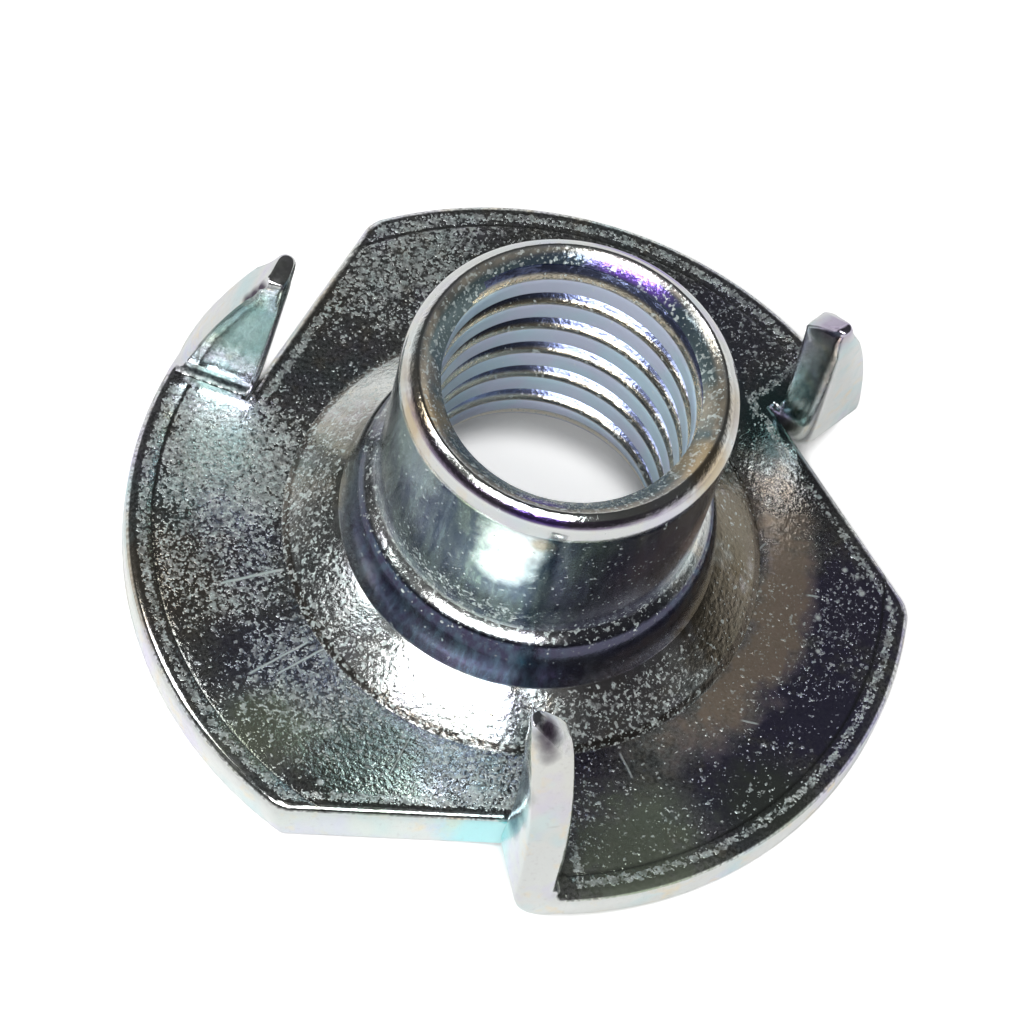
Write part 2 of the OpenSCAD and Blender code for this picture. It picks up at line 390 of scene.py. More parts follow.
def make_prong(order, height, lean, foot_in, bulge, hollow, bow, bend, slope, crown, coin, coin_way):
    """One prong: the section of the sheet carried round its bend, up the blade and cut to its tip."""
    skin = 0.004
    first, last = foot_in + skin, FOOT_OUT - skin
    low, high = BEND_Z - bend[1] - bend[2], SHEET - skin
    let_in = 0.12
    outline = arc((last - 0.15, low + 0.15), 0.15, -90, 0, 4) + arc((last - 0.3, high - 0.3), 0.3, 0, 90, 5)
    outline += arc((first + 0.22, high - 0.22), 0.22, 90, 180, 4)
    outline += arc((first + 0.36, low + 0.36), 0.36, 180, 270, 6)
    prong = draw_line(f"prong_{order}", [(x, BEND_Y + let_in, z) for x, z in outline])
    take_all()
    extrude((0, -let_in, 0))
    ends = [first, last]
    grow = height / (BLADE_H + TIP_R)

    def narrow(to_first, to_last):
        """Bring the section's two edges in to where they belong."""
        bpy.ops.transform.translate(value=(to_first - ends[0], 0, 0))
        share = (to_last - to_first) / (ends[1] - ends[0])
        bpy.ops.transform.resize(value=(share, 1, 1), center_override=(to_first, BEND_Y, BEND_Z))
        ends[:] = [to_first, to_last]

    def place(z):
        share = z / (BLADE_H * grow)
        inner_edge = edge_at(share, foot_in, TIP_X - TIP_R, hollow)
        narrow(inner_edge, edge_at(share, FOOT_OUT, TIP_X + TIP_R, bulge))

    bends = 9
    reach = BEND_Z - low
    for count in range(1, bends + 1):
        angle = math.radians((90 - lean) * count / bends)
        extrude((0, 0, 0))
        turn(-(90 - lean) / bends, "X", (0, BEND_Y, BEND_Z))
        fuller = bend_reach(angle, *bend) / reach
        bpy.ops.transform.resize(value=(1, fuller, fuller), center_override=(0, BEND_Y, BEND_Z))
        reach = bend_reach(angle, *bend)
        place(BEND_Z * (1 - math.cos(angle)))
    out = -math.sin(math.radians(lean))
    up = math.cos(math.radians(lean))
    z, bowed = BEND_Z, 0.0
    levels = [(level, None) for level in (2.0, 2.7, 3.4, 4.1, 4.8, 5.4, 5.9, 6.3, 6.6, 6.8, BLADE_H)]
    for turned in (25, 50, 72):
        half, over = spoke(TIP_R, turned)
        levels.append((BLADE_H + over, half))
    for level, half in levels:
        level *= grow
        step = (level - z) / up
        bend_in = bow * math.sin(math.pi * min(1.0, (level - BEND_Z) / (BLADE_H * grow - BEND_Z)))
        extrude((0, out * step + bend_in - bowed, up * step))
        z, bowed = level, bend_in
        if half is None:
            place(z)
        else:
            narrow(TIP_X - half, TIP_X + half)
    face_outwards()
    cap_way = (0.0, math.sin(math.radians(slope)), math.cos(math.radians(slope)))
    trim(prong, (TIP_X, -2.42, height - 0.05), cap_way, crown, 0.62)
    trim(prong, (TIP_X + coin[0], coin[1], height + coin[2]), coin_way, 0.05, 0.8)
    take_all()
    bpy.ops.mesh.remove_doubles(threshold=1e-3)
    bpy.ops.object.mode_set(mode="OBJECT")
    tip = prong.vertex_groups.new(name="tip")
    for vertex in prong.data.vertices:
        tip.add([vertex.index], min(1.0, max(0.0, 1.5 * (vertex.co.z - height + 1.4))), "REPLACE")
    apply(prong, "SMOOTH", vertex_group="tip", factor=0.5, iterations=40)
    prong.vertex_groups.clear()
    edit(prong)
    take_all()
    turn(PRONG_TURN + PRONG_STEP * order, "Z")
    face_outwards()
    put_down()
    return prong


nut = make_blank()
lift_underside(nut)
cut_away(nut, make_tap())
cut_away(nut, make_gap_cutters())
cut_away(nut, make_corner_cutters())
for order, prong in enumerate(PRONGS):
    weld_on(nut, make_prong(order, **prong))
edit(nut)
take_all()
bpy.ops.mesh.remove_doubles(threshold=2e-4)
bpy.ops.mesh.dissolve_degenerate(threshold=1e-4)
take_all()
bpy.ops.transform.resize(value=(0.001, 0.001, 0.001), center_override=(0, 0, 0))
pick(nut)
bpy.ops.object.shade_smooth_by_angle(angle=math.radians(32))
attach(nut, "root")
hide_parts("tee_nut")

# ------------------------------------------------------------------ finish
def put(tree, kind, *inputs, out=0, **settings):
    """Add a node; each input is a plain value, another node's output, or None to leave it alone."""
    made = tree.nodes.new(kind)
    for name, value in settings.items():
        setattr(made, name, value)
    for slot, value in enumerate(inputs):
        if isinstance(value, bpy.types.NodeSocket):
            tree.links.new(value, made.inputs[slot])
        elif value is not None:
            made.inputs[slot].default_value = value
    return made.outputs[out]


def maths(tree, way, *inputs):
    return put(tree, "ShaderNodeMath", *inputs, operation=way)


def product(tree, *factors):
    """Multiply any number of values."""
    total = factors[0]
    for factor in factors[1:]:
        total = maths(tree, "MULTIPLY", total, factor)
    return total


def greatest(tree, *values):
    """The greatest of any number of values."""
    most = values[0]
    for value in values[1:]:
        most = maths(tree, "MAXIMUM", most, value)
    return most


def vectors(tree, way, *inputs, out=0):
    return put(tree, "ShaderNodeVectorMath", *inputs, operation=way, out=out)


def spread(tree, value, low, high, to_low=0.0, to_high=1.0):
    """Stretch low..high over to_low..to_high, and hold the ends beyond them."""
    return put(tree, "ShaderNodeMapRange", value, low, high, to_low, to_high)


def blend(tree, share, colour, other, way="MIX"):
    skipped = [None] * 5
    kind = {"data_type": "RGBA", "blend_type": way}
    return put(tree, "ShaderNodeMix", share, *skipped, colour, other, out=2, **kind)


def noise(tree, place, scale, detail=2.0, roughness=0.5):
    return put(tree, "ShaderNodeTexNoise", place, None, scale, detail, roughness)


def rgb(red, green, blue):
    return (red, green, blue, 1.0)


def new_group(name, takes, gives):
    """An empty group with its sockets: returns the tree, what it takes and where its results go."""
    tree = bpy.data.node_groups.new(name, "ShaderNodeTree")
    for label, kind in takes:
        tree.interface.new_socket(label, in_out="INPUT", socket_type="NodeSocket" + kind)
    for label, kind in gives:
        tree.interface.new_socket(label, in_out="OUTPUT", socket_type="NodeSocket" + kind)
    return tree, tree.nodes.new("NodeGroupInput").outputs, tree.nodes.new("NodeGroupOutput").inputs


def along(order, degrees):
    """The level direction that many degrees round from the axis of a prong's own frame."""
    angle = math.radians(PRONG_TURN + PRONG_STEP * order + degrees)
    return (math.cos(angle), math.sin(angle), 0.0)


def on_prong(order, outward, aside, height):
    """A place given in a prong's own frame."""
    level = Vector(along(order, 0)) * outward + Vector(along(order, 90)) * aside
    return (level.x, level.y, height)


def make_place_group():
    """Where a point is, in millimetres: its place, radius, height and way to the sheared outline."""
    tree, _, gives = new_group(
        "where_on_nut", [],
        [("Place", "Vector"), ("Radius", "Float"), ("Height", "Float"), ("Edge", "Float")])
    metres = put(tree, "ShaderNodeTexCoord", out="Object")
    place = vectors(tree, "SCALE", metres, None, None, 1000.0)
    level = vectors(tree, "MULTIPLY", place, (1.0, 1.0, 0.0))
    radius = vectors(tree, "LENGTH", level, out="Value")
    edge = maths(tree, "SUBTRACT", FLANGE_R, radius)
    for order in range(PRONG_COUNT):
        past_cut = vectors(tree, "DOT_PRODUCT", place, along(order, CUT_TURN - PRONG_TURN), out="Value")
        past_bend = vectors(tree, "DOT_PRODUCT", place, along(order, 90), out="Value")
        to_cut = maths(tree, "SUBTRACT", CUT_X, past_cut)
        to_bend = maths(tree, "SUBTRACT", past_bend, BEND_Y)
        edge = maths(tree, "MINIMUM", edge, greatest(tree, to_cut, to_bend))
    height = put(tree, "ShaderNodeSeparateXYZ", place, out=2)
    for value, socket in zip((place, radius, height, edge), gives):
        tree.links.new(value, socket)
    return tree


def make_grain_group():
    """The pebbled grain of the pressed sheet under its plating, as a height."""
    tree, takes, gives = new_group(
        "pressed_grain", [("Place", "Vector"), ("Size", "Float")], [("Height", "Float")])
    place = vectors(tree, "SCALE", takes["Place"], None, None, takes["Size"])
    pebbles = put(tree, "ShaderNodeTexVoronoi", place, None, 1.0, feature="SMOOTH_F1", out="Distance")
    rough = noise(tree, place, 0.9, 3.0, 0.6)
    height = maths(tree, "ADD", product(tree, rough, 1.1), product(tree, pebbles, -0.5))
    tree.links.new(height, gives["Height"])
    return tree


def make_speck_group():
    """Fine ragged bright specks, painted sparkle over the plating's grain: 1 on a speck, 0 between them, and
    denser as Share rises.
    """
    tree, takes, gives = new_group(
        "painted_sparkle_specks", [("Place", "Vector"), ("Size", "Float"), ("Share", "Float")],
        [("Specks", "Float")])
    place = vectors(tree, "SCALE", takes["Place"], None, None, takes["Size"])
    lift = product(tree, maths(tree, "SUBTRACT", takes["Share"], 0.5), 0.34)
    fine = spread(tree, maths(tree, "ADD", noise(tree, place, 1.0, 1.5, 0.5), lift), 0.57, 0.66)
    coarse = spread(tree, maths(tree, "ADD", noise(tree, place, 0.55, 1.0, 0.5), lift), 0.56, 0.62)
    shades = spread(tree, noise(tree, place, 0.4, 2.0, 0.7), 0.35, 0.6, 0.35, 1.0)
    either = greatest(tree, fine, product(tree, coarse, 0.8))
    tree.links.new(product(tree, either, shades), gives["Specks"])
    return tree


def make_tint_group():
    """The faint blue, lavender and straw colours of passivated zinc."""
    tree, takes, gives = new_group(
        "zinc_tint", [("Place", "Vector"), ("Strength", "Float")], [("Colour", "Color")])
    place = takes["Place"]
    colour = rgb(0.80, 0.82, 0.80)
    for shift, scale, low, high, tint in (
        ((0, 0, 0), 0.45, 0.50, 0.68, rgb(0.62, 0.80, 0.82)),
        ((5, 1, 3), 0.60, 0.50, 0.70, rgb(0.74, 0.70, 0.88)),
        ((2, 7, 1), 1.40, 0.56, 0.72, rgb(0.86, 0.78, 0.62)),
    ):
        moved = vectors(tree, "ADD", place, shift)
        share = spread(tree, noise(tree, moved, scale, 3.0, 0.55), low, high)
        colour = blend(tree, product(tree, share, takes["Strength"]), colour, tint)
    tree.links.new(colour, gives["Colour"])
    return tree


def make_spot_group():
    """A soft ragged spot round a point."""
    tree, takes, gives = new_group(
        "soft_spot", [("Place", "Vector"), ("Middle", "Vector"), ("Reach", "Float"), ("Ragged", "Float")],
        [("Mask", "Float")])
    gap = vectors(tree, "DISTANCE", takes["Place"], takes["Middle"], out="Value")
    far = maths(tree, "DIVIDE", gap, takes["Reach"])
    wobble = maths(tree, "SUBTRACT", noise(tree, takes["Place"], 2.2, 3.0, 0.6), 0.5)
    far = maths(tree, "ADD", far, product(tree, wobble, takes["Ragged"]))
    tree.links.new(spread(tree, far, 1.0, 0.45), gives["Mask"])
    return tree


def make_scratch_group():
    """A thin straight mark from a start, that many radians round."""
    tree, takes, gives = new_group(
        "scratch",
        [("Place", "Vector"), ("Start", "Vector"), ("Turn", "Float"), ("Length", "Float"),
         ("Width", "Float")],
        [("Mask", "Float")])
    place = vectors(tree, "SUBTRACT", takes["Place"], takes["Start"])
    back = product(tree, takes["Turn"], -1.0)
    lying = put(tree, "ShaderNodeVectorRotate", place, None, None, back, rotation_type="Z_AXIS")
    parts = tree.nodes.new("ShaderNodeSeparateXYZ")
    tree.links.new(lying, parts.inputs[0])
    ahead, aside = parts.outputs[0], parts.outputs[1]
    waver = product(tree, maths(tree, "SUBTRACT", noise(tree, takes["Place"], 3.0), 0.5), takes["Width"])
    aside = maths(tree, "ABSOLUTE", maths(tree, "ADD", aside, waver))
    thin = spread(tree, maths(tree, "DIVIDE", aside, takes["Width"]), 1.0, 0.4)
    started = spread(tree, ahead, 0.0, 0.1)
    ended = spread(tree, maths(tree, "SUBTRACT", takes["Length"], ahead), 0.0, 0.1)
    tree.links.new(product(tree, thin, started, ended), gives["Mask"])
    return tree


PLACE_GROUP = make_place_group()
GRAIN_GROUP = make_grain_group()
SPECK_GROUP = make_speck_group()
TINT_GROUP = make_tint_group()
SPOT_GROUP = make_spot_group()
SCRATCH_GROUP = make_scratch_group()


def use(tree, group, *inputs, out=0):
    return put(tree, "ShaderNodeGroup", *inputs, node_tree=group, out=out)


class Finish:
    """One finish of the zinc: a material with its shader, and where on the nut it is being worked out."""

    def __init__(self, name, metallic=1.0):
        self.material = bpy.data.materials.new(name)
        self.material.use_nodes = True
        self.tree = self.material.node_tree
        self.shader = self.tree.nodes["Principled BSDF"]
        self.shader.inputs["Metallic"].default_value = metallic
        where = self.tree.nodes.new("ShaderNodeGroup")
        where.node_tree = PLACE_GROUP
        self.place, self.radius, self.height, self.edge = where.outputs

    def tints_and_painted_light(self, colour, spots):
        """Lay soft spots over a colour, tints of the zinc and painted light and shade alike: each a middle,
        a reach, how ragged it is, a share and a tint.
        """
        for middle, reach, ragged, share, tint in spots:
            mask = use(self.tree, SPOT_GROUP, self.place, middle, reach, ragged)
            colour = blend(self.tree, product(self.tree, mask, share), colour, tint)
        return colour

    def band(self, value, low, high, soft):
        """1 where a value is between low and high, fading over soft."""
        risen = spread(self.tree, value, low - soft, low + soft)
        fallen = spread(self.tree, value, high + soft, high - soft)
        return product(self.tree, risen, fallen)

    def around(self, *spots):
        """The greatest of some soft spots, each a middle, a reach and a share."""
        most = 0.0
        for middle, reach, share in spots:
            mask = use(self.tree, SPOT_GROUP, self.place, middle, reach, 0.7)
            most = greatest(self.tree, most, product(self.tree, mask, share))
        return most

    def speckle(self, colour, share, size=13.0, kept_metal=0.3, metal=0.97, marks=0.0):
        """Lay specks over a colour as painted sparkle, and let them scatter light as well as mirror it."""
        tree = self.tree
        specks = greatest(tree, use(tree, SPECK_GROUP, self.place, size, share), marks)
        pale = blend(tree, noise(tree, self.place, 3.0), rgb(0.55, 0.74, 0.72), rgb(1.0, 1.0, 0.98))
        tree.links.new(spread(tree, specks, 0.0, 1.0, metal, kept_metal), self.shader.inputs["Metallic"])
        return specks, blend(tree, specks, colour, pale)

    def finish(self, colour, roughness, height, depth):
        """Wire the looks up: depth is the height of the relief, in millimetres."""
        for value, name in ((colour, "Base Color"), (roughness, "Roughness")):
            if isinstance(value, bpy.types.NodeSocket):
                self.tree.links.new(value, self.shader.inputs[name])
            else:
                self.shader.inputs[name].default_value = value
        bump = self.tree.nodes.new("ShaderNodeBump")
        bump.inputs["Distance"].default_value = depth * 0.001
        self.tree.links.new(height, bump.inputs["Height"])
        self.tree.links.new(bump.outputs["Normal"], self.shader.inputs["Normal"])
        return self.material


# scratches on the flange: start, the way they run in degrees, length, half width and strength
SCRATCHES = (
    ((-7.54, -4.27, 1.2), 34, 1.93, 0.06, 1.0), ((-5.99, -6.66, 1.2), 50, 2.06, 0.05, 0.9),
    ((-5.27, -6.41, 1.2), 50, 1.80, 0.05, 0.9), ((-4.3, -6.25, 1.2), -62, 0.6, 0.04, 0.6),
    ((-1.3, -7.0, 1.2), -100, 1.3, 0.03, 0.6), ((-0.5, -7.1, 1.2), -93, 1.1, 0.03, 0.5),
    ((0.3, -7.1, 1.2), -88, 1.2, 0.03, 0.6), ((1.0, -7.1, 1.2), -80, 1.0, 0.03, 0.5),
    ((7.96, 0.94, 1.2), 12, 0.45, 0.04, 0.9), ((7.13, -3.46, 1.2), 5, 0.55, 0.04, 0.8),
    ((6.2, 1.6, 1.2), 60, 0.7, 0.04, 0.6), ((4.2, -5.5, 1.2), -50, 0.9, 0.04, 0.6),
)
# small bright dents in the flange: middle and reach
DENTS = (
    ((9.23, 2.0, 1.2), 0.13), ((9.48, 1.52, 1.2), 0.12), ((9.63, 2.18, 1.2), 0.1), ((8.85, 2.1, 1.2), 0.1),
    ((8.47, 0.36, 1.2), 0.13), ((8.7, -0.65, 1.2), 0.1), ((-3.23, -9.08, 1.2), 0.12),
    ((10.3, 1.36, 1.2), 0.14),
)


def rolled_zinc():
    """The faces of the sheet: dark, pebbled and full of bright specks of painted sparkle, most of all along
    the edges.
    """
    zinc = Finish("rolled_zinc")
    tree = zinc.tree
    grain = use(tree, GRAIN_GROUP, zinc.place, 8.0)
    patches = noise(tree, zinc.place, 0.35, 2.0)
    from_round = maths(tree, "SUBTRACT", FLANGE_R, zinc.radius)
    dots = zinc.band(zinc.edge, 0.34, 0.62, 0.06)
    smooth_edge = spread(tree, zinc.edge, 0.2, 0.34)
    share = spread(tree, patches, 0.35, 0.65, 0.08, 0.40)
    # painted sparkle is denser in these spots; the two by the foot of the left prong paint the bright patch
    # where the flange mirrors that prong
    share = greatest(tree, share, zinc.around(
        ((-6.5, 8.3, 1.2), 5.0, 0.66), ((-8.3, -0.6, 1.2), 3.4, 0.82), ((-9.6, 1.3, 1.2), 1.8, 0.9),
        ((-7.6, -3.4, 1.2), 3.2, 0.60), ((-4.4, -6.2, 1.2), 3.0, 0.60), ((0.8, -7.3, 1.2), 2.4, 0.62),
        ((6.4, 6.6, 1.2), 1.6, 0.6), ((-8.8, 2.3, 3.6), 3.2, 0.56)))
    share = greatest(tree, share, product(tree, dots, 0.75))
    cleaner = zinc.around(((6.5, -4.0, 1.2), 5.0, 0.14), ((7.0, 3.6, 1.2), 3.0, 0.30))
    share = maths(tree, "SUBTRACT", share, cleaner)
    share = maths(tree, "SUBTRACT", share, spread(tree, smooth_edge, 0.0, 1.0, 1.0, 0.0))
    colour = use(tree, TINT_GROUP, zinc.place, 0.7)
    pits = spread(tree, noise(tree, zinc.place, 10.0, 2.0, 0.6), 0.40, 0.56, 0.45, 1.0)
    colour = blend(tree, 1.0, colour, put(tree, "ShaderNodeCombineColor", pits, pits, pits), way="MULTIPLY")
    colour = zinc.tints_and_painted_light(colour, (
        ((9.2, 0.9, 1.2), 2.4, 1.2, 0.85, rgb(0.28, 0.25, 0.46)),
        ((9.0, -2.4, 1.2), 2.4, 1.2, 0.85, rgb(0.26, 0.24, 0.46)),
        ((7.6, -5.2, 1.2), 2.2, 1.2, 0.8, rgb(0.28, 0.26, 0.46)),
        ((3.4, -7.2, 1.2), 2.0, 1.2, 0.7, rgb(0.34, 0.28, 0.46)),
        ((3.4, 8.2, 1.2), 3.0, 1.2, 0.6, rgb(0.30, 0.30, 0.46)),
        ((-7.6, -3.0, 1.2), 1.8, 1.2, 0.7, rgb(0.30, 0.30, 0.46)),
        ((-5.4, -6.0, 1.2), 2.2, 1.2, 0.7, rgb(0.30, 0.30, 0.46)),
        ((5.4, -8.2, 1.2), 2.6, 1.2, 0.8, rgb(0.40, 0.48, 0.34)),
        ((8.4, -5.6, 1.2), 1.6, 1.0, 0.7, rgb(0.42, 0.50, 0.38)),
        ((-5.0, -7.9, 1.2), 1.7, 1.2, 0.8, rgb(0.38, 0.44, 0.30)),
        ((-2.2, -8.4, 1.2), 2.2, 1.2, 0.6, rgb(0.34, 0.44, 0.36)),
        ((-9.0, -4.4, 1.2), 2.4, 1.2, 0.7, rgb(0.48, 0.40, 0.30)),
        ((-8.0, 5.4, 1.2), 1.8, 1.2, 0.5, rgb(0.42, 0.36, 0.28)),
        # painted reflections on the left prong's inner face: dark teal up the face and pale teal at its bend
        ((-8.8, 2.3, 4.4), 2.6, 0.5, 0.9, rgb(0.12, 0.20, 0.19)),
        ((-9.4, 2.5, 1.6), 1.2, 0.6, 0.6, rgb(0.60, 0.92, 0.92)),
        ((6.3, 6.0, 1.2), 2.4, 0.8, 0.85, rgb(0.12, 0.27, 0.27)),
        ((7.0, 4.2, 1.2), 2.0, 1.0, 0.7, rgb(0.28, 0.27, 0.30)),
    ))
    # where the painted shade line of the crease lies
    crease = zinc.band(from_round, 0.72, 0.80, 0.04)
    marks_and_painted_highlight = 0.0
    for start, way, length, width, strength in SCRATCHES:
        mark = use(tree, SCRATCH_GROUP, zinc.place, start, math.radians(way), length, width)
        marks_and_painted_highlight = greatest(tree, marks_and_painted_highlight, product(tree, mark, strength))
    for middle, reach in DENTS:
        dent = use(tree, SPOT_GROUP, zinc.place, middle, reach, 1.6)
        marks_and_painted_highlight = greatest(tree, marks_and_painted_highlight, product(tree, dent, 0.9))
    marks_and_painted_highlight = product(tree, marks_and_painted_highlight, spread(tree, zinc.height, 1.5, 1.3))
    # a brown cast lies round the cone on one side, and a paler green haze in two places at the edge
    sway = maths(tree, "SUBTRACT", noise(tree, zinc.place, 0.7, 3.0, 0.65), 0.5)
    wavy = maths(tree, "ADD", zinc.radius, product(tree, sway, 2.2))
    brown = product(tree, zinc.band(wavy, 6.6, 8.1, 0.35), zinc.around(((7.4, -0.6, 1.2), 6.2, 1.0)))
    colour = blend(tree, product(tree, brown, 0.9), colour, rgb(0.50, 0.39, 0.29))
    haze = greatest(tree, brown, zinc.around(((5.4, -8.2, 1.2), 2.6, 0.5), ((-5.0, -7.9, 1.2), 1.8, 0.5)))
    metal = spread(tree, haze, 0.0, 1.0, 0.97, 0.62)
    # a painted highlight runs along the rounded border of one prong
    border = []
    for level in (6.2, 5.8, 5.4, 5.0, 4.6, 4.2):
        outward = edge_at(level / BLADE_H, FOOT_OUT, 8.65, 0.43)
        border.append((on_prong(1, outward, -1.36, level), 0.34, 0.9))
    marks_and_painted_highlight = greatest(tree, marks_and_painted_highlight, zinc.around(*border))
    share = maths(tree, "SUBTRACT", share, crease)
    specks, colour = zinc.speckle(colour, share, metal=metal, marks=marks_and_painted_highlight)
    # painted shade along the crease near the rolled edge
    colour = blend(tree, product(tree, crease, 0.8), colour, rgb(0.11, 0.12, 0.11))
    # painted shade in the sharp inside of each bend
    bend = zinc.band(zinc.height, 1.21, 1.7, 0.006)
    root = zinc.band(zinc.height, 1.23, 1.5, 0.05)
    patchy = spread(tree, noise(tree, zinc.place, 2.2, 3.0, 0.7), 0.34, 0.56, 0.5, 0.95)
    colour = blend(tree, product(tree, root, patchy), colour, rgb(0.05, 0.06, 0.07))
    roughness = maths(tree, "ADD", spread(tree, specks, 0.0, 1.0, 0.12, 0.3), product(tree, bend, 0.34))
    strength = maths(tree, "ADD", spread(tree, smooth_edge, 0.0, 1.0, 0.1, 1.0), product(tree, bend, 2.5))
    height = maths(tree, "ADD", product(tree, grain, strength), product(tree, specks, 0.5))
    return zinc.finish(colour, roughness, height, 0.020)


def sheared_zinc():
    """The cut edges: smooth and pale, with a burnished band over a torn one."""
    zinc = Finish("sheared_zinc")
    tree = zinc.tree
    drawn_out = vectors(tree, "MULTIPLY", zinc.place, (1.0, 1.0, 0.35))
    streaks = noise(tree, drawn_out, 5.0, 3.0, 0.6)
    colour = use(tree, TINT_GROUP, zinc.place, 0.9)
    colour = zinc.tints_and_painted_light(colour, (
        ((1.6, -8.5, 0.7), 1.9, 0.4, 0.8, rgb(0.50, 0.88, 0.90)),
        ((-2.4, -9.1, 0.6), 2.4, 0.6, 0.4, rgb(0.74, 0.86, 0.80)),
        ((-8.9, -4.9, 0.6), 2.5, 0.6, 0.3, rgb(0.84, 0.84, 0.74)),
        ((2.6, -8.2, 5.0), 2.6, 0.5, 0.3, rgb(0.88, 0.84, 0.74)),
    ))
    dark, teal = rgb(0.07, 0.05, 0.08), rgb(0.07, 0.13, 0.18)
    lilac, gold, sea = rgb(0.52, 0.46, 0.60), rgb(0.62, 0.42, 0.20), rgb(0.70, 0.90, 0.92)
    # the dark spots at the tips of the prongs are a painted reflection of the dark overhead
    for order, outward, aside, height, reach, tint in (
        (0, 8.62, -2.18, 7.1, 0.42, dark), (0, 8.72, -2.12, 6.75, 0.46, dark),
        (0, 8.85, -2.08, 6.35, 0.46, dark), (0, 8.95, -2.02, 6.0, 0.36, dark),
        (2, 8.75, -1.42, 6.4, 0.32, dark), (2, 8.9, -1.36, 6.05, 0.36, dark),
        (2, 9.04, -1.32, 5.7, 0.34, dark), (0, 9.0, -2.5, 4.9, 0.8, teal), (0, 9.0, -2.5, 3.9, 0.9, teal),
        (0, 8.95, -2.45, 2.9, 0.8, teal), (1, 8.45, -1.9, 7.25, 1.2, lilac),
        (1, 8.72, -1.5, 6.9, 0.36, gold),
        (0, 9.1, -2.0, 5.4, 0.5, sea), (0, 9.5, -2.0, 4.2, 0.7, sea), (2, 8.2, -1.4, 6.7, 0.3, dark),
    ):
        colour = zinc.tints_and_painted_light(colour, ((on_prong(order, outward, aside, height), reach, 0.3, 0.95, tint),))
    by_nick = zinc.around((on_prong(0, 9.65, -1.75, 4.17), 0.5, 0.7))
    nick = product(tree, zinc.band(zinc.height, 4.13, 4.19, 0.02), by_nick)
    colour = blend(tree, nick, colour, rgb(0.25, 0.22, 0.16))
    # painted shade along the very bottom of the cut edges, where they meet the table
    low_line = spread(tree, zinc.height, 0.11, 0.05)
    marks = spread(tree, noise(tree, zinc.place, 9.0, 2.0), 0.60, 0.72)
    colour = blend(tree, product(tree, low_line, 0.8), colour, rgb(0.20, 0.16, 0.24))
    colour = blend(tree, product(tree, marks, 0.18), colour, rgb(0.45, 0.40, 0.40))
    roughness = spread(tree, streaks, 0.3, 0.7, 0.12, 0.26)
    return zinc.finish(colour, roughness, streaks, 0.008)


